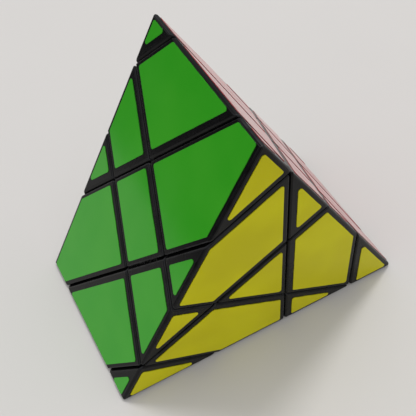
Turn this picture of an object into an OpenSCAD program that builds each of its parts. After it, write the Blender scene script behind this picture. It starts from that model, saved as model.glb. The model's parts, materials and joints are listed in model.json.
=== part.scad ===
// Triangular-prism twisty puzzle: a three-layer cube mechanism inside a prism whose long axis is
// the cube's body diagonal. It rests on one rectangular face, a triangular end faces -Y, and the
// origin is at the centre of that resting face. All lengths are in millimetres.

/* [Body] */
// Thickness of one layer between two neighbouring cuts
slice = 19; // [18:0.5:20]
// Distance between the two triangular ends, measured on the plastic
prism_length = 54.5; // [52:0.5:56]
// Rounding of the three long edges
edge_radius = 0.8; // [0.5:0.1:1.2]
// Clearance from a cut plane to each of the two pieces beside it
gap = 0.15; // [0.1:0.05:0.2]

/* [Mechanism] */
// Radius of the round shell under which the feet turn
shell_radius = 21.9; // [21.5:0.1:22]
// Half the width of the feet and stems that run inside the shell
stem_half = 5.7; // [5.5:0.1:6]
// Radius of the hollow that holds the core
hollow_radius = 11.8; // [11.6:0.1:12]
// Radius of the hub at the middle of the core
hub_radius = 7.5; // [7:0.1:8]
// Radius of each of the six arms
arm_radius = 4; // [3.8:0.1:4.2]
// Height along an axis where the cap of a centre piece parts from its base
cap_split = 26; // [25.5:0.1:26]

/* [Fasteners] */
// Radius of the screw shank
shank_radius = 1.25; // [1.1:0.05:1.3]
// Radius of the screw head
head_radius = 3; // [2.8:0.1:3.2]
// Height of the screw head
head_height = 2; // [1.6:0.1:2.4]
// Height along an axis of the underside of the screw head
head_seat = 20; // [19.5:0.1:20.5]
// Radius of the pocket that holds screw head, washer and spring
pocket_radius = 3.7; // [3.6:0.05:3.8]
// Height along an axis of the pocket's floor
pocket_floor = 14.3; // [14:0.1:14.6]
// Radius of the spring wire
wire_radius = 0.4; // [0.3:0.05:0.4]
// Thickness of the washer
washer_height = 0.6; // [0.5:0.1:0.7]

/* [Stickers] */
// Thickness of a sticker
sticker_height = 0.15; // [0.1:0.05:0.3]
// Distance from a cut plane to the sticker beside it
cut_margin = 1.95; // [1.5:0.05:2.1]
// Distance from an edge of the prism to the sticker beside it
edge_margin = 1.4; // [1.2:0.05:1.8]

/* [Hidden] */
half_slice = slice / 2;
half_length = prism_length / 2;
// Each cut line across an end meets a cut line from the next face on the prism's edge.
side = 3 * prism_length / sqrt(2) - sqrt(1.5) * slice;
inradius = side / (2 * sqrt(3));
core_height = inradius + sticker_height;
reach = 2 * side;
fit = 0.05;
clearance = 0.3;
arm_end = sqrt(pow(hollow_radius - clearance, 2) - pow(arm_radius, 2));
pilot_floor = 3.5;
boss_height = 2;
slot_width = 0.9;
slot_depth = 1;
coil_radius = shank_radius + wire_radius + clearance;
coil_turns = 5;
corner_steps = 5;
$fn = 48;

// A face is its colour, its outward normal on the cube's axes, and the turn that lays it flat.
FACES = [
  ["yellow", [1, 1, 1], [90, 0, 0]],
  ["white", [-1, -1, -1], [90, 0, 180]],
  ["green", [-1, 0, 1], [0, -60, 0]],
  ["red", [0, 1, -1], [0, 60, 0]],
  ["blue", [1, -1, 0], [0, 180, 0]]
];

// A piece is its side of the cuts on the three cube axes, and the colours that it shows.
CORNERS = [
  [[1, 1, 1], ["yellow"]],
  [[-1, -1, -1], ["white"]],
  [[-1, 1, 1], ["yellow", "green", "red"]],
  [[1, -1, 1], ["yellow", "green", "blue"]],
  [[1, 1, -1], ["yellow", "red", "blue"]],
  [[-1, 1, -1], ["white", "green", "red"]],
  [[-1, -1, 1], ["white", "green", "blue"]],
  [[1, -1, -1], ["white", "red", "blue"]]
];
EDGES = [
  [[0, 1, 1], ["yellow", "green"]],
  [[1, 1, 0], ["yellow", "red"]],
  [[1, 0, 1], ["yellow", "blue"]],
  [[-1, -1, 0], ["white", "green"]],
  [[-1, 0, -1], ["white", "red"]],
  [[0, -1, -1], ["white", "blue"]],
  [[-1, 1, 0], ["green", "red"]],
  [[0, -1, 1], ["green", "blue"]],
  [[1, 0, -1], ["red", "blue"]],
  [[-1, 0, 1], ["green"]],
  [[0, 1, -1], ["red"]],
  [[1, -1, 0], ["blue"]]
];
CENTRES = [
  [[0, 0, 1], ["yellow", "green"]],
  [[0, 1, 0], ["yellow", "red"]],
  [[1, 0, 0], ["yellow", "blue"]],
  [[-1, 0, 0], ["white", "green"]],
  [[0, 0, -1], ["white", "red"]],
  [[0, -1, 0], ["white", "blue"]]
];

// The side of the second axis's cuts decides which layer a piece turns with.
LAYERS = [["upper", 1], ["middle", 0], ["lower", -1]];

function joined(words, i = 0) = i == len(words) ? "" : str("_", words[i], joined(words, i + 1));
function piece_name(kind, piece) = str(kind, joined(piece[1]));
function sticker_name(face, layer) = str("stickers_", face[0], "_", layer[0]);
function shows(piece, colour) = len([for (c = piece[1]) if (c == colour) c]) > 0;

// --- Frames ---------------------------------------------------------------------------------

// Puts what is drawn on the cube's axes into the resting prism.
module on_cube_axes() {
  translate([0, 0, core_height])
    rotate([90, 0, 0])
      rotate([0, -atan(sqrt(2)), 0])
        rotate([0, 0, -45])
          children();
}

// Points what is drawn along +Z out along a signed cube axis, such as [0, -1, 0].
module along(axis) {
  tilt = axis[2] < 0 ? 180 : axis[2] > 0 ? 0 : 90;
  turn = axis[1] != 0 ? 90 * axis[1] : axis[0] < 0 ? 180 : 0;
  rotate([0, tilt, turn])
    children();
}

// --- Prism ----------------------------------------------------------------------------------

// Triangle with its tip up and rounded corners, centred on its own middle.
module rounded_triangle(inner, radius) {
  polygon([
    for (corner = [0:2], step = [0:corner_steps])
      let (
        out = 90 + 120 * corner,
        a = out - 60 + 120 * step / corner_steps
      )
      2 * (inner - radius) * [cos(out), sin(out)] + radius * [cos(a), sin(a)]
  ]);
}

module prism() {
  translate([0, half_length, core_height])
    rotate([90, 0, 0])
      linear_extrude(prism_length)
        rounded_triangle(inradius, edge_radius);
}

// --- Pieces ---------------------------------------------------------------------------------

// Box on the cube's axes. side_cut bounds the layers beside an axis, and mid_cut the middle one.
module cut_block(signs, side_cut, mid_cut) {
  low = [for (i = [0:2]) signs[i] > 0 ? side_cut[i] : signs[i] < 0 ? -reach : -mid_cut[i]];
  high = [for (i = [0:2]) signs[i] > 0 ? reach : signs[i] < 0 ? -side_cut[i] : mid_cut[i]];
  translate(low)
    cube(high - low);
}

// The part of a piece that shows, its foot inside the round shell, and the neck between them.
module piece_solid(signs) {
  outer_side = (half_slice + gap) * [1, 1, 1];
  outer_mid = (half_slice - gap) * [1, 1, 1];
  foot_side = (stem_half + gap) * [1, 1, 1];
  foot_mid = (stem_half - gap) * [1, 1, 1];
  intersection() {
    prism();
    on_cube_axes()
      difference() {
        union() {
          difference() {
            cut_block(signs, outer_side, outer_mid);
            sphere(shell_radius + gap);
          }
          intersection() {
            cut_block(signs, foot_side, foot_mid);
            sphere(shell_radius - gap);
          }
          cut_block(signs, outer_side, foot_mid);
        }
        sphere(hollow_radius);
      }
  }
}

module corner(piece) {
  color("#26262a")
    piece_solid(piece[0]);
}

module edge(piece) {
  color("#26262a")
    piece_solid(piece[0]);
}

// Everything beyond the plane where a centre piece's cap parts from its base.
module beyond_split(height) {
  translate([-reach / 2, -reach / 2, height])
    cube([reach, reach, reach]);
}

// Centre piece: a hollow stem that turns on an arm of the core.
module centre(piece) {
  color("#26262a")
    difference() {
      piece_solid(piece[0]);
      on_cube_axes()
        along(piece[0]) {
          beyond_split(cap_split);
          translate([0, 0, pocket_floor])
            cylinder(h = cap_split, r = pocket_radius);
          cylinder(h = cap_split, r = shank_radius + clearance);
        }
    }
}

// Cap that snaps into a centre piece's pocket and carries its stickers.
module cap(piece) {
  color("#2c2c30")
    union() {
      intersection() {
        piece_solid(piece[0]);
        on_cube_axes()
          along(piece[0])
            beyond_split(cap_split + fit);
      }
      on_cube_axes()
        along(piece[0])
          translate([0, 0, cap_split - boss_height])
            cylinder(h = boss_height + 1, r = pocket_radius - fit);
    }
}

// --- Mechanism ------------------------------------------------------------------------------

// Six-armed core, each arm with a pilot hole for its screw.
module core() {
  color("#e8e6df")
    on_cube_axes()
      difference() {
        union() {
          sphere(hub_radius);
          for (c = CENTRES)
            along(c[0])
              cylinder(h = arm_end, r = arm_radius);
        }
        for (c = CENTRES)
          along(c[0])
            translate([0, 0, pilot_floor])
              cylinder(h = arm_end, r = shank_radius + fit);
      }
}

module screws() {
  color("#b9bbbd")
    on_cube_axes()
      for (c = CENTRES)
        along(c[0])
          difference() {
            union() {
              translate([0, 0, pilot_floor + clearance])
                cylinder(h = head_seat - pilot_floor, r = shank_radius);
              translate([0, 0, head_seat])
                cylinder(h = head_height, r = head_radius);
            }
            for (turn = [0, 90])
              rotate([0, 0, turn])
                translate([-head_radius / 2, -slot_width / 2, head_seat + head_height - slot_depth])
                  cube([head_radius, slot_width, slot_depth + 1]);
          }
}

// Compression springs, each drawn as a thin sleeve with one ridge for every turn of its wire.
module springs() {
  span = head_seat - washer_height - pocket_floor - 4 * fit;
  pitch = (span - 2 * wire_radius) / coil_turns;
  color("#9da0a3")
    on_cube_axes()
      for (c = CENTRES)
        along(c[0])
          translate([0, 0, pocket_floor + fit])
            union() {
              difference() {
                cylinder(h = span, r = coil_radius + wire_radius / 4);
                translate([0, 0, -1])
                  cylinder(h = span + 2, r = coil_radius - wire_radius / 4);
              }
              for (i = [0:coil_turns])
                translate([0, 0, wire_radius + i * pitch])
                  rotate_extrude()
                    translate([coil_radius, 0])
                      circle(r = wire_radius);
            }
}

module washers() {
  color("#c8cacc")
    on_cube_axes()
      for (c = CENTRES)
        along(c[0])
          translate([0, 0, head_seat - washer_height - fit])
            difference() {
              cylinder(h = washer_height, r = head_radius + clearance);
              translate([0, 0, -1])
                cylinder(h = washer_height + 2, r = shank_radius + clearance / 2);
            }
}

// --- Stickers -------------------------------------------------------------------------------

// Thin sheet over a whole face, drawn in from the prism's edges.
module face_sheet(face) {
  is_end = abs(face[1][0] + face[1][1] + face[1][2]) > 0;
  translate([0, 0, core_height])
    rotate(face[2])
      translate([0, 0, is_end ? half_length : inradius])
        linear_extrude(sticker_height)
          if (is_end)
            rounded_triangle(inradius - edge_margin, edge_radius);
          else
            square([side - 2 * edge_margin, prism_length - 2 * edge_margin], center = true);
}

// The stretch of a face sheet that belongs to one piece, drawn in from the cuts. A cut that
// crosses the face at a slant moves less along its own axis than the margin measured on the face.
module sticker(face, signs) {
  normal = face[1] / norm(face[1]);
  inset = [for (i = [0:2]) cut_margin * sqrt(1 - pow(normal[i], 2))];
  side_cut = half_slice * [1, 1, 1] + inset;
  mid_cut = half_slice * [1, 1, 1] - inset;
  intersection() {
    face_sheet(face);
    on_cube_axes()
      cut_block(signs, side_cut, mid_cut);
  }
}

module stickers(face, layer) {
  color(face[0])
    for (piece = concat(CORNERS, EDGES, CENTRES))
      if (piece[0][1] == layer[1] && shows(piece, face[0]))
        sticker(face, piece[0]);
}

// --- Assembly -------------------------------------------------------------------------------

for (p = CORNERS)
  corner(p);
for (p = EDGES)
  edge(p);
for (p = CENTRES)
  centre(p);
for (p = CENTRES)
  cap(p);
core();
screws();
springs();
washers();
for (f = FACES, l = LAYERS)
  stickers(f, l);
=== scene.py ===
"""Looks of a triangular-prism twisty puzzle: rounded black pieces, glossy vinyl stickers, a sprung core."""

import itertools
import json
import logging
import math
import random
from dataclasses import dataclass, field
from enum import Enum
from typing import Callable, Iterable, NamedTuple, Sequence

import bmesh
import bpy
from mathutils import Matrix, Vector


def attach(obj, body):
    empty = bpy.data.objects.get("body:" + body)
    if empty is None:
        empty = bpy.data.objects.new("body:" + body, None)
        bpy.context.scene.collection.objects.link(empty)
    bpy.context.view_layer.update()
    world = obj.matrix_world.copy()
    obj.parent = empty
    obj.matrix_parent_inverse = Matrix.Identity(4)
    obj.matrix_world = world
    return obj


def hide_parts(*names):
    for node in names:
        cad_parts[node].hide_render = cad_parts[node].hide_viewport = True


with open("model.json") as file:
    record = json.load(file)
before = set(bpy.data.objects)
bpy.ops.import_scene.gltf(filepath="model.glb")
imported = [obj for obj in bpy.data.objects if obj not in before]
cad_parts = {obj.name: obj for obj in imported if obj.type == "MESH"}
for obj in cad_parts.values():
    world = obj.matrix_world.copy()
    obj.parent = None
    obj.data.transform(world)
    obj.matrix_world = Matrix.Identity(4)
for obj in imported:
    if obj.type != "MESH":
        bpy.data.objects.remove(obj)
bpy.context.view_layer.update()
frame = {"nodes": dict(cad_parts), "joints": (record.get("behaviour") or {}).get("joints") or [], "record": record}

log = logging.getLogger("twisty_puzzle")

RIM = "rim"
SEED = 11

MM = 0.001
PARALLEL = 1e-6  # least determinant of three planes that meet in a point
SAME_POINT = 1e-4  # millimetres between points that count as one
ON_PLANE = 1e-3  # millimetres from a plane that still count as on it
FLAT_WITHIN = 0.4  # degrees between facets that are merged into one
FLAT_FACE_WEIGHT = 80  # how strongly large faces steer the shading


class Colour(Enum):
    """Sticker colours, each with the outward normal of its face on the cube's axes."""

    YELLOW = (1, 1, 1)
    WHITE = (-1, -1, -1)
    GREEN = (-1, 0, 1)
    RED = (0, 1, -1)
    BLUE = (1, -1, 0)

    @property
    def word(self) -> str:
        """Plain lower-case name of the colour."""
        return self.name.lower()

    @property
    def is_end(self) -> bool:
        """True for the two triangular ends."""
        return sum(self.value) != 0


class Join(Enum):
    """Ways to combine two closed solids."""

    ADD = "UNION"
    KEEP_SHARED = "INTERSECT"


class Plane(NamedTuple):
    """A half-space: the points whose distance along normal is at most reach."""

    normal: Vector
    reach: float


Signs = tuple[int, int, int]


# --- The puzzle's geometry -------------------------------------------------------------------


@dataclass(frozen=True)
class PuzzleGeometry:
    """Driving sizes of the puzzle, in millimetres, measured from the middle of its core."""

    slice_thickness: float = 19.0
    length: float = 54.5
    gap: float = 0.15
    shell_radius: float = 21.9
    sticker_height: float = 0.15
    cut_margin: float = 1.95
    edge_margin: float = 1.4

    @property
    def side(self) -> float:
        """Side of the triangular ends."""
        return 3 * self.length / math.sqrt(2) - math.sqrt(1.5) * self.slice_thickness

    @property
    def inradius(self) -> float:
        """Distance from the middle to each long face."""
        return self.side / (2 * math.sqrt(3))

    @property
    def middle(self) -> Vector:
        """Middle of the core in the row frame, in metres, taken from the layers' joints."""
        return Vector(frame["joints"][0]["pos_m"])

    @property
    def cube_axes(self) -> list[Vector]:
        """The three axes that the layers turn on, in the row frame."""
        second = Vector(frame["joints"][0]["axis"]).normalized()
        diagonal = Vector((0.0, -1.0, 0.0))
        third_of_turn = 2 * math.pi / 3
        first, third = (
            Matrix.Rotation(turn, 3, diagonal) @ second for turn in (-third_of_turn, third_of_turn)
        )
        return [first, second, third]

    def face_normal(self, colour: Colour) -> Vector:
        """Works out which way a face looks.

        Args:
            colour: The face.

        Returns:
            Its outward normal in the row frame.
        """
        total = Vector((0.0, 0.0, 0.0))
        for weight, axis in zip(colour.value, self.cube_axes):
            total += weight * axis
        return total.normalized()

    def face_reach(self, colour: Colour) -> float:
        """Returns how far a face is from the middle."""
        return self.length / 2 if colour.is_end else self.inradius

    def face(self, colour: Colour) -> Plane:
        """Returns one outer face as a plane."""
        return Plane(self.face_normal(colour), self.face_reach(colour))

    def prism(self) -> list[Plane]:
        """Returns the five faces of the prism."""
        return [self.face(colour) for colour in Colour]

    def cuts(self, signs: Signs, inset: Callable[[Vector], float]) -> list[Plane]:
        """Bounds the block between the cuts that a piece lies beside.

        Args:
            signs: Side of the cuts on each cube axis, 0 for the middle layer.
            inset: Distance that each cut is drawn in, from the cut's axis.

        Returns:
            The half-spaces whose common part is the block.
        """
        half = self.slice_thickness / 2
        planes = []
        for sign, axis in zip(signs, self.cube_axes):
            drawn = inset(axis)
            if sign:
                planes.append(Plane(-sign * axis, -(half + drawn)))
            else:
                planes += [Plane(axis, half - drawn), Plane(-axis, half - drawn)]
        return planes


def inside(point: Vector, planes: Iterable[Plane]) -> bool:
    """Tells whether a point lies in every half-space."""
    return all(plane.normal.dot(point) <= plane.reach + SAME_POINT for plane in planes)


def block_corners(planes: Sequence[Plane]) -> list[Vector]:
    """Finds the corners of a convex block.

    Args:
        planes: The half-spaces that bound it.

    Returns:
        Each point where three of the planes meet inside all the others.
    """
    corners: list[Vector] = []
    for trio in itertools.combinations(planes, 3):
        rows = Matrix([plane.normal for plane in trio])
        if abs(rows.determinant()) < PARALLEL:
            continue
        point = rows.inverted() @ Vector([plane.reach for plane in trio])
        if inside(point, planes) and all((point - known).length > SAME_POINT for known in corners):
            corners.append(point)
    return corners


def dome(a: Vector, b: Vector, c: Vector, widest: float) -> list[Vector]:
    """Spreads unit vectors over the round corner between three face normals.

    Args:
        a: First normal.
        b: Second normal.
        c: Third normal.
        widest: Largest angle in radians to leave between neighbours.

    Returns:
        The unit vectors, the three normals among them.
    """
    if max(a.angle(b), b.angle(c), c.angle(a)) <= widest:
        return [a, b, c]
    ab, bc, ca = ((p + q).normalized() for p, q in ((a, b), (b, c), (c, a)))
    trios = ((a, ab, ca), (ab, b, bc), (ca, bc, c), (ab, bc, ca))
    return [unit for trio in trios for unit in dome(*trio, widest)]


def eased_edge(first: Plane, second: Plane, radius: float, steps: int = 4) -> list[Plane]:
    """Finds planes that lie against the round edge between two faces.

    Args:
        first: One face.
        second: The other face.
        radius: Radius of the round edge.
        steps: Number of arcs that the edge is parted into.

    Returns:
        The planes between the two faces.
    """
    share = first.normal.dot(second.normal)
    u, v = first.reach - radius, second.reach - radius
    axis_point = (u - share * v) * first.normal + (v - share * u) * second.normal
    axis_point /= 1 - share * share
    planes = []
    for step in range(1, steps):
        normal = first.normal.slerp(second.normal, step / steps)
        planes.append(Plane(normal, normal.dot(axis_point) + radius))
    return planes


def rounded_block(planes: Sequence[Plane], radius: float, widest: float = 16.0) -> bmesh.types.BMesh:
    """Makes a convex block whose every edge and corner is round.

    Args:
        planes: The half-spaces that bound the sharp block.
        radius: Radius of the rounding.
        widest: Largest angle in degrees between neighbouring facets of a round corner.

    Returns:
        A closed mesh in millimetres, which the caller frees.
    """
    shrunk = [Plane(plane.normal, plane.reach - radius) for plane in planes]
    mesh = bmesh.new()
    for corner in block_corners(shrunk):
        touching = [p.normal for p in shrunk if abs(p.normal.dot(corner) - p.reach) < ON_PLANE]
        units: list[Vector] = []
        for trio in itertools.combinations(touching, 3):
            units += dome(*trio, math.radians(widest))
        for unit in units:
            mesh.verts.new(corner + radius * unit)
    bmesh.ops.remove_doubles(mesh, verts=mesh.verts, dist=ON_PLANE)
    hull = bmesh.ops.convex_hull(mesh, input=mesh.verts)
    left_over = hull["geom_interior"] + hull["geom_unused"]
    loose = {thing for thing in left_over if isinstance(thing, bmesh.types.BMVert)}
    bmesh.ops.delete(mesh, geom=list(loose), context="VERTS")
    bmesh.ops.dissolve_limit(
        mesh,
        angle_limit=math.radians(FLAT_WITHIN),
        verts=mesh.verts,
        edges=mesh.edges,
        delimit={"NORMAL"},
    )
    bmesh.ops.recalc_face_normals(mesh, faces=mesh.faces)
    return mesh


# --- Mesh tools ------------------------------------------------------------------------------


def linked(name: str, data: bpy.types.Mesh) -> bpy.types.Object:
    """Makes an object from mesh data and links it to the scene.

    Args:
        name: Name of the object.
        data: Its mesh.

    Returns:
        The linked object.
    """
    made = bpy.data.objects.new(name, data)
    bpy.context.scene.collection.objects.link(made)
    return made


def scratch_from(mesh: bmesh.types.BMesh, name: str) -> bpy.types.Object:
    """Turns a mesh into a scratch object, both in millimetres.

    Args:
        mesh: The mesh, measured from the middle of the core. It is freed.
        name: Name of the object.

    Returns:
        The linked object.
    """
    data = bpy.data.meshes.new(name)
    mesh.to_mesh(data)
    mesh.free()
    return linked(name, data)


def object_from(mesh: bmesh.types.BMesh, name: str, place: Vector) -> bpy.types.Object:
    """Turns a mesh in millimetres into an object in metres.

    Args:
        mesh: The mesh, measured from the middle of the core. It is freed.
        name: Name of the object.
        place: Where the middle of the core is.

    Returns:
        The linked object, with its place in its mesh.
    """
    made = scratch_from(mesh, name)
    made.data.transform(Matrix.Translation(place) @ Matrix.Scale(MM, 4))
    return made


def scratch_copy(source: bpy.types.Object, place: Vector) -> bpy.types.Object:
    """Copies an object into a scratch one in millimetres, measured from the middle of the core.

    Args:
        source: The object, in metres in the row frame. It stays as it is.
        place: Where the middle of the core is.

    Returns:
        The linked copy, with its split corners merged so that it is closed.
    """
    data = source.data.copy()
    data.transform(Matrix.Scale(1 / MM, 4) @ Matrix.Translation(-place))
    mesh = bmesh.new()
    mesh.from_mesh(data)
    bmesh.ops.remove_doubles(mesh, verts=mesh.verts, dist=SAME_POINT)
    mesh.to_mesh(data)
    mesh.free()
    return linked(source.name + "_solid", data)


def evaluated_mesh(piece: bpy.types.Object) -> bpy.types.Mesh:
    """Returns a new mesh with the piece's modifiers applied."""
    graph = bpy.context.evaluated_depsgraph_get()
    return bpy.data.meshes.new_from_object(piece.evaluated_get(graph))


def discard(*things: bpy.types.Object) -> None:
    """Removes scratch objects and their meshes."""
    for thing in things:
        data = thing.data
        bpy.data.objects.remove(thing)
        bpy.data.meshes.remove(data)


def combine(first: bpy.types.Object, second: bpy.types.Object, join: Join) -> None:
    """Combines a closed solid with another one, in place.

    Args:
        first: The solid that changes.
        second: The other solid, which stays as it was.
        join: How they are combined.
    """
    modifier = first.modifiers.new("combine", "BOOLEAN")
    modifier.operation = join.value
    modifier.solver = "EXACT"
    modifier.object = second
    data = evaluated_mesh(first)
    first.modifiers.clear()
    old, first.data = first.data, data
    bpy.data.meshes.remove(old)


def mark_rims(piece: bpy.types.Object, flat_area: float) -> None:
    """Marks each vertex that lies on a rounding and touches no flat face, for the painted rim light and shade.

    Args:
        piece: The object to mark.
        flat_area: Area in square millimetres from which a face counts as flat.
    """
    mesh = bmesh.new()
    mesh.from_mesh(piece.data)
    limit = flat_area * MM * MM
    on_flat = [any(face.calc_area() > limit for face in vertex.link_faces) for vertex in mesh.verts]
    mesh.free()
    rim = piece.data.attributes.new(RIM, "FLOAT", "POINT")
    rim.data.foreach_set("value", [0.0 if flat else 1.0 for flat in on_flat])


def smooth_between_flats(piece: bpy.types.Object, sharp_above: float = 32.0) -> None:
    """Shades round edges smoothly and keeps the flat faces flat.

    Args:
        piece: The object to shade.
        sharp_above: Angle in degrees above which an edge stays sharp.
    """
    piece.data.shade_smooth()
    piece.data.set_sharp_from_angle(angle=math.radians(sharp_above))
    modifier = piece.modifiers.new("weighted", "WEIGHTED_NORMAL")
    modifier.mode = "FACE_AREA"
    modifier.weight = FLAT_FACE_WEIGHT
    modifier.keep_sharp = True
    data = evaluated_mesh(piece)
    piece.modifiers.clear()
    old, piece.data = piece.data, data
    name = old.name
    bpy.data.meshes.remove(old)
    data.name = name


# --- Shader groups ---------------------------------------------------------------------------

Rgb = tuple[float, float, float]

PATCH_SPAN = (0.30, 0.62)  # noise values between which patches of painted rim light and shade fade in
DRIFT_SPAN = (0.32, 0.68)
SMUDGE_SPAN = (0.4, 0.7)
SCUFF_SPAN = (0.3, 0.7)
SCUFF_SCALE = 1400.0


def opaque(colour: Rgb) -> tuple[float, float, float, float]:
    """Returns a colour with full alpha."""
    return (*colour, 1.0)


@dataclass(frozen=True)
class Socket:
    """One named input or output of a shader group."""

    name: str
    kind: str = "NodeSocketFloat"
    start: float | tuple[float, float, float, float] | None = None


def new_group(name: str, inputs: Sequence[Socket], outputs: Sequence[Socket]) -> bpy.types.NodeTree:
    """Makes an empty shader group.

    Args:
        name: Name of the group.
        inputs: Its inputs, with their starting values.
        outputs: Its outputs.

    Returns:
        The group's tree, with its input and output nodes in place.
    """
    tree = bpy.data.node_groups.new(name, "ShaderNodeTree")
    for socket in inputs:
        made = tree.interface.new_socket(socket.name, in_out="INPUT", socket_type=socket.kind)
        if socket.start is not None:
            made.default_value = socket.start
    for socket in outputs:
        tree.interface.new_socket(socket.name, in_out="OUTPUT", socket_type=socket.kind)
    tree.nodes.new("NodeGroupInput").name = "in"
    tree.nodes.new("NodeGroupOutput").name = "out"
    return tree


@dataclass
class Wiring:
    """Adds nodes to a tree and joins them.

    A Mix node has several sockets of one name, so its sockets are picked by their place.
    """

    tree: bpy.types.NodeTree

    def node(self, kind: str, **settings: object) -> bpy.types.Node:
        """Adds a node and sets its own properties."""
        made = self.tree.nodes.new(kind)
        for key, value in settings.items():
            setattr(made, key, value)
        return made

    def placed(self, group: bpy.types.NodeTree, values: dict[str, object]) -> bpy.types.Node:
        """Places a shader group with its own values.

        Args:
            group: The group.
            values: Value of each input that is set.

        Returns:
            The group's node.
        """
        made = self.node("ShaderNodeGroup", node_tree=group)
        for key, value in values.items():
            made.inputs[key].default_value = value
        return made

    def join(self, out: bpy.types.NodeSocket, into: bpy.types.NodeSocket) -> None:
        """Joins an output to an input."""
        self.tree.links.new(out, into)

    def colour(self, colour: Rgb) -> bpy.types.NodeSocket:
        """Adds a fixed colour."""
        made = self.node("ShaderNodeRGB")
        made.outputs[0].default_value = opaque(colour)
        return made.outputs[0]

    def ramp(self, value: bpy.types.NodeSocket, low: float, high: float) -> bpy.types.NodeSocket:
        """Stretches a value smoothly, and clamps it.

        Args:
            value: The value to stretch.
            low: What becomes 0.
            high: What becomes 1.

        Returns:
            The output that holds the stretched value.
        """
        made = self.node("ShaderNodeMapRange", interpolation_type="SMOOTHSTEP")
        made.inputs["From Min"].default_value = low
        made.inputs["From Max"].default_value = high
        self.join(value, made.inputs["Value"])
        return made.outputs["Result"]

    def between(
        self, low: bpy.types.NodeSocket, high: bpy.types.NodeSocket, mask: bpy.types.NodeSocket
    ) -> bpy.types.NodeSocket:
        """Blends two numbers.

        Args:
            low: The number where the mask is 0.
            high: The number where the mask is 1.
            mask: The mask.

        Returns:
            The output that holds the blend.
        """
        made = self.node("ShaderNodeMix", data_type="FLOAT")
        self.join(mask, made.inputs[0])
        self.join(low, made.inputs[2])
        self.join(high, made.inputs[3])
        return made.outputs[0]

    def tint(
        self, low: bpy.types.NodeSocket, high: bpy.types.NodeSocket, mask: bpy.types.NodeSocket
    ) -> bpy.types.NodeSocket:
        """Blends two colours.

        Args:
            low: The colour where the mask is 0.
            high: The colour where the mask is 1.
            mask: The mask.

        Returns:
            The output that holds the blend.
        """
        made = self.node("ShaderNodeMix", data_type="RGBA")
        self.join(mask, made.inputs[0])
        self.join(low, made.inputs[6])
        self.join(high, made.inputs[7])
        return made.outputs[2]

    def product(self, a: bpy.types.NodeSocket, b: bpy.types.NodeSocket) -> bpy.types.NodeSocket:
        """Multiplies two numbers."""
        made = self.node("ShaderNodeMath", operation="MULTIPLY")
        self.join(a, made.inputs[0])
        self.join(b, made.inputs[1])
        return made.outputs[0]

    def texture(self, scale: bpy.types.NodeSocket | float, detail: float) -> bpy.types.NodeSocket:
        """Adds a noise texture on the object's own coordinates.

        Args:
            scale: Its scale, as a number or as the socket that gives it.
            detail: How many finer layers of noise it holds.

        Returns:
            The output that holds the noise.
        """
        place = self.node("ShaderNodeTexCoord")
        made = self.node("ShaderNodeTexNoise")
        made.inputs["Detail"].default_value = detail
        self.join(place.outputs["Object"], made.inputs["Vector"])
        if isinstance(scale, float):
            made.inputs["Scale"].default_value = scale
        else:
            self.join(scale, made.inputs["Scale"])
        return made.outputs["Fac"]


def edge_polish_group() -> bpy.types.NodeTree:
    """Builds the group that paints round edges: a painted highlight on the black plastic and painted shade on the
    stickers' rims.

    Returns:
        The group, with the blended colour and the mask as its outputs.
    """
    inputs = (
        Socket("Base", "NodeSocketColor"),
        Socket("Polished", "NodeSocketColor"),
        Socket("Amount", start=0.5),
        Socket("Patch Scale", start=220.0),
    )
    tree = new_group("edge_polish", inputs, (Socket("Color", "NodeSocketColor"), Socket("Mask")))
    w = Wiring(tree)
    given, out = tree.nodes["in"].outputs, tree.nodes["out"].inputs
    edge = w.node("ShaderNodeAttribute", attribute_name=RIM).outputs["Fac"]
    patches = w.ramp(w.texture(given["Patch Scale"], detail=4.0), *PATCH_SPAN)
    # The painted rim light and shade goes where this mask is high: on rounded rims, in patches.
    mask = w.product(w.product(edge, patches), given["Amount"])
    w.join(w.tint(given["Base"], given["Polished"], mask), out["Color"])
    w.join(mask, out["Mask"])
    return tree


def tone_group() -> bpy.types.NodeTree:
    """Builds the group that lets a colour drift a little from place to place.

    Returns:
        The group, with the drifting colour as its output.
    """
    inputs = (
        Socket("Light", "NodeSocketColor"),
        Socket("Deep", "NodeSocketColor"),
        Socket("Scale", start=40.0),
    )
    tree = new_group("tone", inputs, (Socket("Color", "NodeSocketColor"),))
    w = Wiring(tree)
    given, out = tree.nodes["in"].outputs, tree.nodes["out"].inputs
    drift = w.ramp(w.texture(given["Scale"], detail=2.0), *DRIFT_SPAN)
    w.join(w.tint(given["Light"], given["Deep"], drift), out["Color"])
    return tree


def smudge_group() -> bpy.types.NodeTree:
    """Builds the group that varies gloss with faint finger marks and fine scuffs.

    Returns:
        The group, with the roughness and the mask as its outputs.
    """
    inputs = (Socket("Clean", start=0.2), Socket("Smudged", start=0.3), Socket("Scale", start=60.0))
    tree = new_group("smudges", inputs, (Socket("Roughness"), Socket("Mask")))
    w = Wiring(tree)
    given, out = tree.nodes["in"].outputs, tree.nodes["out"].inputs
    broad = w.ramp(w.texture(given["Scale"], detail=3.0), *SMUDGE_SPAN)
    fine = w.ramp(w.texture(SCUFF_SCALE, detail=2.0), *SCUFF_SPAN)
    mask = w.product(broad, fine)
    w.join(w.between(given["Clean"], given["Smudged"], mask), out["Roughness"])
    w.join(mask, out["Mask"])
    return tree


def grain_group() -> bpy.types.NodeTree:
    """Builds the group that gives a surface its moulded or rolled texture.

    Returns:
        The group, with the height as its output.
    """
    inputs = (
        Socket("Fine Scale", start=2500.0),
        Socket("Broad Scale", start=120.0),
        Socket("Broad", start=0.5),
    )
    tree = new_group("surface_grain", inputs, (Socket("Height"),))
    w = Wiring(tree)
    given, out = tree.nodes["in"].outputs, tree.nodes["out"].inputs
    fine = w.texture(given["Fine Scale"], detail=2.0)
    broad = w.texture(given["Broad Scale"], detail=1.0)
    w.join(w.between(fine, broad, given["Broad"]), out["Height"])
    return tree


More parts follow.
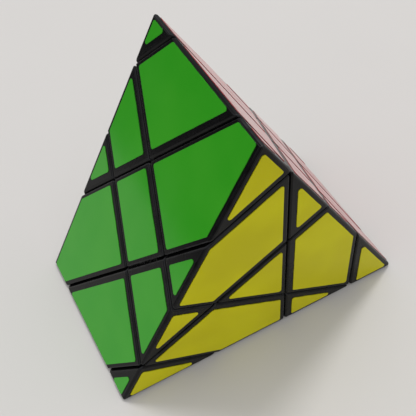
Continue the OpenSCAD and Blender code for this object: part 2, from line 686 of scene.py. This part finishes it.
@dataclass
class ShaderGroups:
    """The shader groups that the finishes share, each built once."""

    edge_polish: bpy.types.NodeTree = field(default_factory=edge_polish_group)
    tone: bpy.types.NodeTree = field(default_factory=tone_group)
    smudges: bpy.types.NodeTree = field(default_factory=smudge_group)
    grain: bpy.types.NodeTree = field(default_factory=grain_group)


# --- Finishes --------------------------------------------------------------------------------


@dataclass(frozen=True)
class Finish:
    """A surface finish: its colours, gloss and texture.

    The painted rim colour goes on round edges: a painted highlight on the black plastic, painted shade on the
    stickers. The gloss index is a look, tuned with the lights.
    """

    name: str
    base: Rgb
    deep: Rgb
    polished: Rgb
    wear: float
    clean: float
    smudged: float
    fine_scale: float
    broad_scale: float
    broad: float
    relief: float
    gloss_index: float = 1.45
    metallic: float = 0.0
    patch_scale: float = 220.0
    smudge_scale: float = 60.0
    tone_scale: float = 45.0
    relief_depth: float = 0.02

    def material(self, groups: ShaderGroups) -> bpy.types.Material:
        """Builds the finish as a material.

        Args:
            groups: The shared shader groups.

        Returns:
            The new material.
        """
        made = bpy.data.materials.new(self.name)
        made.use_nodes = True
        w = Wiring(made.node_tree)
        shader = made.node_tree.nodes["Principled BSDF"]
        shader.inputs["Metallic"].default_value = self.metallic
        shader.inputs["IOR"].default_value = self.gloss_index
        w.join(self._colour(w, groups), shader.inputs["Base Color"])
        smudges = w.placed(
            groups.smudges, {"Clean": self.clean, "Smudged": self.smudged, "Scale": self.smudge_scale}
        )
        w.join(smudges.outputs["Roughness"], shader.inputs["Roughness"])
        w.join(self._relief(w, groups), shader.inputs["Normal"])
        return made

    def _colour(self, w: Wiring, groups: ShaderGroups) -> bpy.types.NodeSocket:
        """Lays the drifting tone under the painted rim light and shade.

        Args:
            w: The material's wiring.
            groups: The shared shader groups.

        Returns:
            The output that holds the colour.
        """
        tone = w.placed(
            groups.tone, {"Light": opaque(self.base), "Deep": opaque(self.deep), "Scale": self.tone_scale}
        )
        rim_paint = w.placed(
            groups.edge_polish,
            {"Polished": opaque(self.polished), "Amount": self.wear, "Patch Scale": self.patch_scale},
        )
        w.join(tone.outputs["Color"], rim_paint.inputs["Base"])
        return rim_paint.outputs["Color"]

    def _relief(self, w: Wiring, groups: ShaderGroups) -> bpy.types.NodeSocket:
        """Raises the moulded or rolled texture.

        Args:
            w: The material's wiring.
            groups: The shared shader groups.

        Returns:
            The output that holds the bumped normal.
        """
        grain = w.placed(
            groups.grain,
            {"Broad": self.broad, "Fine Scale": self.fine_scale, "Broad Scale": self.broad_scale},
        )
        bump = w.node("ShaderNodeBump")
        bump.inputs["Strength"].default_value = self.relief
        bump.inputs["Distance"].default_value = self.relief_depth * MM
        w.join(grain.outputs["Height"], bump.inputs["Height"])
        return bump.outputs["Normal"]


RIM_SHADE_SHARE = 0.1  # how much of its colour a sticker's rounded rim keeps: painted shade along the rim


def vinyl(name: str, base: Rgb, deep: Rgb, gloss_index: float) -> Finish:
    """Describes glossy sticker sheet of one colour, with painted shade on its rounded rims.

    Args:
        name: Name of the finish.
        base: Its lighter tone.
        deep: Its deeper tone.
        gloss_index: Its index of refraction, which sets how much it mirrors.

    Returns:
        The finish.
    """
    # Painted shade: the sticker's rounded rim is darkened to a tenth of its deep tone.
    rim_shade = tuple(RIM_SHADE_SHARE * channel for channel in deep)
    return Finish(
        name, base, deep, rim_shade, wear=0.9, clean=0.12, smudged=0.24, fine_scale=1800.0, broad_scale=90.0,
        broad=0.7, relief=0.2, gloss_index=gloss_index,
    )


# The third colour, lighter than the base, is a painted highlight along the rounded edges of the black pieces, in
# patches.
BLACK_PLASTIC = Finish(
    "black_plastic", (0.0036, 0.0036, 0.0038), (0.0026, 0.0026, 0.0028), (0.024, 0.024, 0.026), wear=0.9,
    clean=0.22, smudged=0.36, fine_scale=3000.0, broad_scale=150.0, broad=0.3, relief=0.3, gloss_index=1.23,
)
CORE_PLASTIC = Finish(
    "core_plastic", (0.72, 0.70, 0.64), (0.66, 0.64, 0.58), (0.80, 0.79, 0.75), wear=0.5, clean=0.38,
    smudged=0.50, fine_scale=2600.0, broad_scale=140.0, broad=0.3, relief=0.4,
)
SCREW_STEEL = Finish(
    "screw_steel", (0.56, 0.57, 0.58), (0.48, 0.49, 0.50), (0.80, 0.80, 0.80), wear=0.7, clean=0.24,
    smudged=0.40, fine_scale=4000.0, broad_scale=300.0, broad=0.2, relief=0.3, metallic=1.0,
    tone_scale=180.0,
)
SPRING_STEEL = Finish(
    "spring_steel", (0.42, 0.43, 0.45), (0.34, 0.35, 0.37), (0.62, 0.63, 0.64), wear=0.5, clean=0.20,
    smudged=0.34, fine_scale=5000.0, broad_scale=400.0, broad=0.2, relief=0.25, metallic=1.0,
    tone_scale=260.0,
)
VINYL = {
    Colour.YELLOW: vinyl("yellow_vinyl", (0.69, 0.650, 0.004), (0.610, 0.560, 0.003), gloss_index=1.18),
    Colour.WHITE: vinyl("white_vinyl", (0.76, 0.76, 0.74), (0.71, 0.71, 0.69), gloss_index=1.4),
    Colour.GREEN: vinyl("green_vinyl", (0.044, 0.390, 0.014), (0.030, 0.366, 0.009), gloss_index=1.38),
    Colour.RED: vinyl("red_vinyl", (0.47, 0.018, 0.020), (0.41, 0.013, 0.016), gloss_index=1.6),
    Colour.BLUE: vinyl("blue_vinyl", (0.018, 0.070, 0.44), (0.012, 0.055, 0.38), gloss_index=1.4),
}


def dress(piece: bpy.types.Object, material: bpy.types.Material) -> None:
    """Gives an object one material in place of any it has."""
    if not piece.material_slots:
        piece.data.materials.append(material)
    for slot in piece.material_slots:
        slot.material = material


# --- Sub-assemblies --------------------------------------------------------------------------


@dataclass(frozen=True)
class Workshop:
    """What every sub-assembly needs: the geometry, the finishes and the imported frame."""

    geometry: PuzzleGeometry
    materials: dict[str, bpy.types.Material]
    body_of: dict[str, str]
    slot_of: dict[str, str]

    @staticmethod
    def opened() -> "Workshop":
        """Reads the frame and builds the materials.

        Returns:
            The workshop that the sub-assemblies share.
        """
        groups = ShaderGroups()
        finishes = [BLACK_PLASTIC, CORE_PLASTIC, SCREW_STEEL, SPRING_STEEL, *VINYL.values()]
        bodies = frame["record"]["behaviour"]["bodies"]
        return Workshop(
            PuzzleGeometry(),
            {finish.name: finish.material(groups) for finish in finishes},
            {node: body for body, nodes in bodies.items() for node in nodes},
            {part["node"]: part["material_slot"] for part in frame["record"]["subparts"]},
        )

    def deliver(self, piece: bpy.types.Object, node: str) -> None:
        """Dresses a piece that stands for a CAD node, and makes it ride on that node's body.

        Args:
            piece: The finished piece.
            node: Name of the CAD node that it stands for.
        """
        slot = self.slot_of[node]
        dress(piece, self.materials[slot])
        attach(piece, self.body_of[node])
        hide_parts(node)
        log.info("%s rides on %s", piece.name, self.body_of[node])


@dataclass(frozen=True)
class Cubie:
    """One outer piece of the puzzle: its side of the cuts and the colours that it shows."""

    signs: Signs
    colours: tuple[Colour, ...]

    @property
    def kind(self) -> str:
        """Corner, edge or centre, by how many cuts bound it from the side."""
        return {3: "corner", 2: "edge", 1: "centre"}[sum(map(abs, self.signs))]

    @property
    def words(self) -> str:
        """The colours that it shows, as part of a name."""
        return "_".join(colour.word for colour in self.colours)

    @property
    def name(self) -> str:
        """Name of the piece and of its CAD node."""
        return f"{self.kind}_{self.words}"

    @property
    def layer(self) -> str:
        """Layer on the second axis that the piece turns with."""
        return {1: "upper", 0: "middle", -1: "lower"}[self.signs[1]]


def all_cubies(geometry: PuzzleGeometry) -> list[Cubie]:
    """Finds the 26 outer pieces, and on which faces each one shows.

    Args:
        geometry: The puzzle's sizes.

    Returns:
        The pieces, in a fixed order.
    """
    cubies = []
    for signs in itertools.product((1, 0, -1), repeat=3):
        if signs == (0, 0, 0):
            continue
        corners = block_corners(geometry.prism() + geometry.cuts(signs, lambda _: geometry.gap))
        shown = []
        for colour in Colour:
            normal, reach = geometry.face_normal(colour), geometry.face_reach(colour)
            if sum(abs(normal.dot(corner) - reach) < ON_PLANE for corner in corners) >= 3:
                shown.append(colour)
        ends_first = sorted(shown, key=lambda colour: list(Colour).index(colour))
        cubies.append(Cubie(signs, tuple(ends_first)))
    return cubies


@dataclass(frozen=True)
class PieceShells:
    """The black mouldings: rounded outside, with the CAD model's feet, stems and pockets inside."""

    shop: Workshop
    edge_radius: float = 0.85
    cut_radius: float = 0.4
    blunt_radius: float = 0.9
    blunt_below: float = 100.0
    blunt_steps: int = 3
    inset: float = 0.01
    ball_steps: int = 48
    flat_area: float = 1.2

    def build(self, cubie: Cubie) -> None:
        """Builds a piece's moulding, and for a centre piece its cap too.

        Args:
            cubie: The piece.
        """
        geometry = self.shop.geometry
        planes = geometry.prism() + geometry.cuts(cubie.signs, lambda _: geometry.gap)
        drawn_in = self._drawn_in(planes) + self._eased(cubie)
        rounded = scratch_from(rounded_block(drawn_in, self.cut_radius), "rounded")
        ball = scratch_from(self._ball(), "ball")
        combine(rounded, ball, Join.ADD)
        nodes = [cubie.name] + ([f"cap_{cubie.words}"] if cubie.kind == "centre" else [])
        for node in nodes:
            self._finish_piece(node, rounded)
        discard(rounded, ball)

    def _drawn_in(self, planes: Sequence[Plane]) -> list[Plane]:
        """Draws planes in by the inset, so that a moulding stays inside its CAD solid."""
        return [Plane(plane.normal, plane.reach - self.inset) for plane in planes]

    def _eased(self, cubie: Cubie) -> list[Plane]:
        """Eases the edges that are rounder than the rest.

        Args:
            cubie: The piece.

        Returns:
            Extra planes along the edges between two outer faces, and along the blunt edges where an
            outer face meets a cut.
        """
        geometry = self.shop.geometry
        faces = self._drawn_in([geometry.face(colour) for colour in cubie.colours])
        cuts = self._drawn_in(geometry.cuts(cubie.signs, lambda _: geometry.gap))
        extra = []
        for first, second in itertools.combinations(faces, 2):
            extra += eased_edge(first, second, self.edge_radius)
        for face, cut in itertools.product(faces, cuts):
            if face.normal.angle(cut.normal) < math.radians(self.blunt_below):
                extra += eased_edge(face, cut, self.blunt_radius, self.blunt_steps)
        return extra

    def _finish_piece(self, node: str, rounded: bpy.types.Object) -> None:
        """Rounds one CAD solid by keeping what it shares with the rounded block and the ball.

        Args:
            node: Name of the CAD solid's node.
            rounded: The rounded block and the ball as one solid.
        """
        place = self.shop.geometry.middle
        solid = scratch_copy(frame["nodes"][node], place)
        combine(solid, rounded, Join.KEEP_SHARED)
        mesh = bmesh.new()
        mesh.from_mesh(solid.data)
        bmesh.ops.remove_doubles(mesh, verts=mesh.verts, dist=SAME_POINT)
        bmesh.ops.dissolve_degenerate(mesh, edges=mesh.edges, dist=SAME_POINT)
        discard(solid)
        piece = object_from(mesh, f"{node}_shell", place)
        piece.data.materials.clear()
        smooth_between_flats(piece)
        mark_rims(piece, self.flat_area)
        self.shop.deliver(piece, node)

    def _ball(self) -> bmesh.types.BMesh:
        """Makes the ball under which the feet turn.

        Returns:
            A closed mesh in millimetres, which the caller frees.
        """
        mesh = bmesh.new()
        bmesh.ops.create_uvsphere(
            mesh,
            u_segments=self.ball_steps,
            v_segments=self.ball_steps // 2,
            radius=self.shop.geometry.shell_radius,
        )
        return mesh


@dataclass(frozen=True)
class StickerSet:
    """The vinyl stickers: round-cornered sheets, laid by hand a hair out of true."""

    shop: Workshop
    corner_radius: float = 0.7
    rim_radius: float = 0.05
    rim_steps: int = 3
    corner_steps: int = 8
    sunk: float = 0.03
    stray: float = 0.12
    stray_turn: float = 0.004
    flat_area: float = 5.0
    sharp_above: float = 50.0
    slab: float = 1.0

    def build(self, cubie: Cubie, chance: random.Random) -> None:
        """Builds the stickers of one piece.

        Args:
            cubie: The piece.
            chance: Source of the small errors in laying them.
        """
        for colour in cubie.colours:
            self._one(cubie, colour, chance)

    def _one(self, cubie: Cubie, colour: Colour, chance: random.Random) -> None:
        """Builds one sticker and lays it on its face.

        Args:
            cubie: The piece that carries it.
            colour: The face that it lies on.
            chance: Source of the small errors in laying it.
        """
        geometry = self.shop.geometry
        normal = geometry.face_normal(colour)
        outline = self._outline(cubie, colour)
        middle = sum(outline, Vector((0.0, 0.0, 0.0))) / len(outline)
        turn = Matrix.Rotation(chance.uniform(-self.stray_turn, self.stray_turn), 3, normal)
        across = normal.orthogonal().normalized()
        along = normal.cross(across)
        slip = chance.uniform(-self.stray, self.stray) * across
        slip += chance.uniform(-self.stray, self.stray) * along
        outline = [middle + turn @ (point - middle) + slip for point in outline]
        mesh = self._sheet(outline, normal)
        piece = object_from(mesh, f"sticker_{colour.word}_on_{cubie.name}", geometry.middle)
        smooth_between_flats(piece, self.sharp_above)
        mark_rims(piece, self.flat_area)
        self.shop.deliver(piece, f"stickers_{colour.word}_{cubie.layer}")

    def _outline(self, cubie: Cubie, colour: Colour) -> list[Vector]:
        """Finds the corners, in order, of the sticker's outline drawn in by its corner radius.

        Args:
            cubie: The piece that carries it.
            colour: The face that it lies on.

        Returns:
            Points on the face.
        """
        geometry = self.shop.geometry
        normal, reach = geometry.face_normal(colour), geometry.face_reach(colour)

        def slant(other: Vector) -> float:
            """Returns how much of a distance on the face shows along another plane's normal."""
            return (other - other.dot(normal) * normal).length

        cut_inset = geometry.cut_margin + self.corner_radius
        edge_inset = geometry.edge_margin + self.corner_radius
        planes = geometry.cuts(cubie.signs, lambda axis: cut_inset * slant(axis))
        for other in Colour:
            if other is not colour:
                side = geometry.face_normal(other)
                planes.append(Plane(side, geometry.face_reach(other) - edge_inset * slant(side)))
        planes += [Plane(normal, reach), Plane(-normal, self.slab - reach)]
        corners = [p for p in block_corners(planes) if abs(normal.dot(p) - reach) < ON_PLANE]
        middle = sum(corners, Vector((0.0, 0.0, 0.0))) / len(corners)
        across = normal.orthogonal().normalized()
        along = normal.cross(across)

        def bearing(point: Vector) -> float:
            """Returns the angle at which a corner lies round the middle of the face."""
            return math.atan2((point - middle).dot(along), (point - middle).dot(across))

        return sorted(corners, key=bearing)

    def _sheet(self, corners: Sequence[Vector], normal: Vector) -> bmesh.types.BMesh:
        """Makes a round-cornered sheet with a soft rim.

        Args:
            corners: Its corners, drawn in by the corner radius, in order round the normal.
            normal: Outward normal of the face.

        Returns:
            A closed mesh in millimetres.
        """
        rim: list[tuple[Vector, Vector]] = []
        for i, corner in enumerate(corners):
            before = corner - corners[i - 1]
            after = corners[(i + 1) % len(corners)] - corner
            start, end = before.cross(normal).normalized(), after.cross(normal).normalized()
            for step in range(self.corner_steps + 1):
                out = start.slerp(end, step / self.corner_steps)
                rim.append((corner, out))
        top = self.shop.geometry.sticker_height
        levels = [(self.corner_radius, -self.sunk), (self.corner_radius, top - self.rim_radius)]
        for step in range(1, self.rim_steps + 1):
            angle = math.pi / 2 * step / self.rim_steps
            drawn = self.rim_radius * (1 - math.cos(angle))
            levels.append((self.corner_radius - drawn, top - self.rim_radius * (1 - math.sin(angle))))
        mesh = bmesh.new()
        rings = [
            [mesh.verts.new(corner + radius * out + height * normal) for corner, out in rim]
            for radius, height in levels
        ]
        for lower, upper in zip(rings, rings[1:]):
            for i in range(len(rim)):
                j = (i + 1) % len(rim)
                mesh.faces.new((lower[i], lower[j], upper[j], upper[i]))
        mesh.faces.new(rings[-1])
        mesh.faces.new(reversed(rings[0]))
        return mesh


@dataclass(frozen=True)
class CoreMechanism:
    """The core and what fastens the centre pieces to it."""

    shop: Workshop
    wire_radius: float = 0.4
    coil_radius: float = 1.95
    coil_turns: float = 5.5
    wire_sides: int = 10
    steps_per_turn: int = 28
    closed_ends: float = 0.35
    near_axis: float = 0.9
    sharp_above: float = 60.0

    def build(self) -> None:
        """Dresses the CAD core, screws and washers, and winds the springs."""
        for node in ("core", "screws", "washers"):
            dress(frame["nodes"][node], self.shop.materials[self.shop.slot_of[node]])
            log.info("%s keeps its CAD solid", node)
        self._springs()

    def _springs(self) -> None:
        """Winds the six coil springs as one piece, each between its stem's floor and its washer."""
        geometry = self.shop.geometry
        low, high = self._spring_span()
        mesh = bmesh.new()
        for axis in geometry.cube_axes:
            for sign in (1, -1):
                self._coil(mesh, sign * axis, low, high)
        piece = object_from(mesh, "spring_coils", geometry.middle)
        smooth_between_flats(piece, self.sharp_above)
        self.shop.deliver(piece, "springs")

    def _spring_span(self) -> tuple[float, float]:
        """Reads from the CAD springs where they start and end.

        Returns:
            The two distances from the middle of the core, in millimetres.
        """
        axis, middle = self.shop.geometry.cube_axes[1], self.shop.geometry.middle
        reach = [
            (vertex.co - middle).dot(axis) / MM
            for vertex in frame["nodes"]["springs"].data.vertices
            if (vertex.co - middle).normalized().dot(axis) > self.near_axis
        ]
        return min(reach), max(reach)

    def _coil(self, mesh: bmesh.types.BMesh, axis: Vector, low: float, high: float) -> None:
        """Adds one coil with closed end turns.

        Args:
            mesh: The mesh that it is added to.
            axis: Direction that it points in.
            low: Where it starts along the axis.
            high: Where it ends along the axis.
        """
        across = axis.orthogonal().normalized()
        along = axis.cross(across)
        steps = int(self.coil_turns * self.steps_per_turn)
        start, travel = low + self.wire_radius, high - low - 2 * self.wire_radius
        path = []
        for step in range(steps + 1):
            t = step / steps
            eased = t * t * (3 - 2 * t)
            climb = eased * self.closed_ends + t * (1 - self.closed_ends)
            angle = 2 * math.pi * self.coil_turns * t
            out = math.cos(angle) * across + math.sin(angle) * along
            path.append((self.coil_radius * out + (start + climb * travel) * axis, out))
        rings = []
        for i, (point, out) in enumerate(path):
            ahead = (path[min(i + 1, steps)][0] - path[max(i - 1, 0)][0]).normalized()
            up = ahead.cross(out).normalized()
            ring = []
            for side in range(self.wire_sides):
                turn = 2 * math.pi * side / self.wire_sides
                spoke = math.cos(turn) * out + math.sin(turn) * up
                ring.append(mesh.verts.new(point + self.wire_radius * spoke))
            rings.append(ring)
        for lower, upper in zip(rings, rings[1:]):
            for i in range(self.wire_sides):
                j = (i + 1) % self.wire_sides
                mesh.faces.new((lower[i], lower[j], upper[j], upper[i]))
        mesh.faces.new(reversed(rings[0]))
        mesh.faces.new(rings[-1])


# --- Studio ----------------------------------------------------------------------------------


@dataclass(frozen=True)
class ViewCamera:
    """The scene's camera: where it stands and how it points."""

    from_middle: Vector = field(default_factory=lambda: Vector((-0.0560, -0.1213, 0.1689)))
    heading: float = 23.92
    dip: float = 51.28
    roll: float = 5.31
    lens: float = 64.26
    clip: tuple[float, float] = (0.01, 50.0)

    def build(self, middle: Vector) -> None:
        """Places the camera and makes it the scene's own.

        Args:
            middle: Middle of the puzzle's core.
        """
        heading, dip, roll = (math.radians(angle) for angle in (self.heading, self.dip, self.roll))
        ahead = Vector(
            (math.sin(heading) * math.cos(dip), math.cos(heading) * math.cos(dip), -math.sin(dip))
        )
        level = ahead.cross(Vector((0, 0, 1))).normalized()
        up = math.cos(roll) * level.cross(ahead) + math.sin(roll) * level
        right = ahead.cross(up)
        data = bpy.data.cameras.new("camera")
        data.lens = self.lens
        data.clip_start, data.clip_end = self.clip
        camera = bpy.data.objects.new("camera", data)
        bpy.context.scene.collection.objects.link(camera)
        turned = Matrix((right, up, -ahead)).transposed().to_4x4()
        camera.matrix_world = Matrix.Translation(middle + self.from_middle) @ turned
        bpy.context.scene.camera = camera


@dataclass(frozen=True)
class Studio:
    """A plain pale table under soft light.

    The table's left edge is near the puzzle, so that the glossy faces on that side mirror the
    pale table low down and the darker room above it.
    """

    table_size: float = 6.0
    table_edge: float = -0.18
    table_colour: Rgb = (0.615, 0.592, 0.566)
    table_tone: float = 0.96
    table_roughness: float = 0.6
    table_scale: float = 12.0
    table_detail: float = 5.0
    overhead: Rgb = (0.93, 0.94, 0.96)
    backdrop: Rgb = (0.62, 0.62, 0.63)
    surroundings: Rgb = (0.12, 0.12, 0.125)
    world_strength: float = 0.95
    brightest_from: float = 0.6
    key_from: Vector = field(default_factory=lambda: Vector((0.18, 0.32, 0.93)))
    key_distance: float = 2.4
    key_size: float = 0.5
    key_power: float = 19.0

    def build(self, middle: Vector) -> None:
        """Lays the table, lights it and sets how colours are shown.

        Args:
            middle: Middle of the puzzle's core.
        """
        self._table()
        self._world()
        self._key_light(middle)
        bpy.context.scene.view_settings.view_transform = "Standard"

    def _table(self) -> None:
        """Lays the table top."""
        mesh = bmesh.new()
        bmesh.ops.create_grid(mesh, x_segments=1, y_segments=1, size=self.table_size / 2 / MM)
        middle = self.table_edge + self.table_size / 2
        bmesh.ops.translate(mesh, verts=mesh.verts, vec=(middle / MM, 0.0, 0.0))
        table = object_from(mesh, "table", Vector((0.0, 0.0, 0.0)))
        made = bpy.data.materials.new("table_top")
        made.use_nodes = True
        w = Wiring(made.node_tree)
        shader = made.node_tree.nodes["Principled BSDF"]
        shader.inputs["Roughness"].default_value = self.table_roughness
        deeper = tuple(self.table_tone * channel for channel in self.table_colour)
        pale, deep = w.colour(self.table_colour), w.colour(deeper)
        drift = w.texture(self.table_scale, self.table_detail)
        w.join(w.tint(pale, deep, drift), shader.inputs["Base Color"])
        dress(table, made)

    def _world(self) -> None:
        """Sets the light from all round: bright overhead, dimmer low down, with a pale backdrop."""
        world = bpy.data.worlds.new("studio")
        world.use_nodes = True
        w = Wiring(world.node_tree)
        background = world.node_tree.nodes["Background"]
        background.inputs["Strength"].default_value = self.world_strength
        split = w.node("ShaderNodeSeparateXYZ")
        w.join(w.node("ShaderNodeTexCoord").outputs["Generated"], split.inputs["Vector"])
        height = w.ramp(split.outputs["Z"], 0.0, self.brightest_from)
        light = w.tint(w.colour(self.surroundings), w.colour(self.overhead), height)
        straight = w.node("ShaderNodeLightPath").outputs["Is Camera Ray"]
        seen = w.tint(light, w.colour(self.backdrop), straight)
        w.join(seen, background.inputs["Color"])
        bpy.context.scene.world = world

    def _key_light(self, middle: Vector) -> None:
        """Hangs the main soft light.

        Args:
            middle: Point that it shines at.
        """
        data = bpy.data.lights.new("key_light", "AREA")
        data.shape = "DISK"
        data.size = self.key_size
        data.energy = self.key_power
        light = bpy.data.objects.new("key_light", data)
        bpy.context.scene.collection.objects.link(light)
        light.location = middle + self.key_distance * self.key_from.normalized()
        light.rotation_mode = "QUATERNION"
        light.rotation_quaternion = (middle - light.location).to_track_quat("-Z", "Y")


def main() -> None:
    """Builds every sub-assembly in order."""
    logging.basicConfig(level=logging.INFO, format="%(name)s: %(message)s")
    shop = Workshop.opened()
    middle = shop.geometry.middle
    ViewCamera().build(middle)
    Studio().build(middle)
    shells, stickers = PieceShells(shop), StickerSet(shop)
    chance = random.Random(SEED)
    for cubie in all_cubies(shop.geometry):
        shells.build(cubie)
        stickers.build(cubie, chance)
    CoreMechanism(shop).build()


if __name__ == "__main__":
    main()
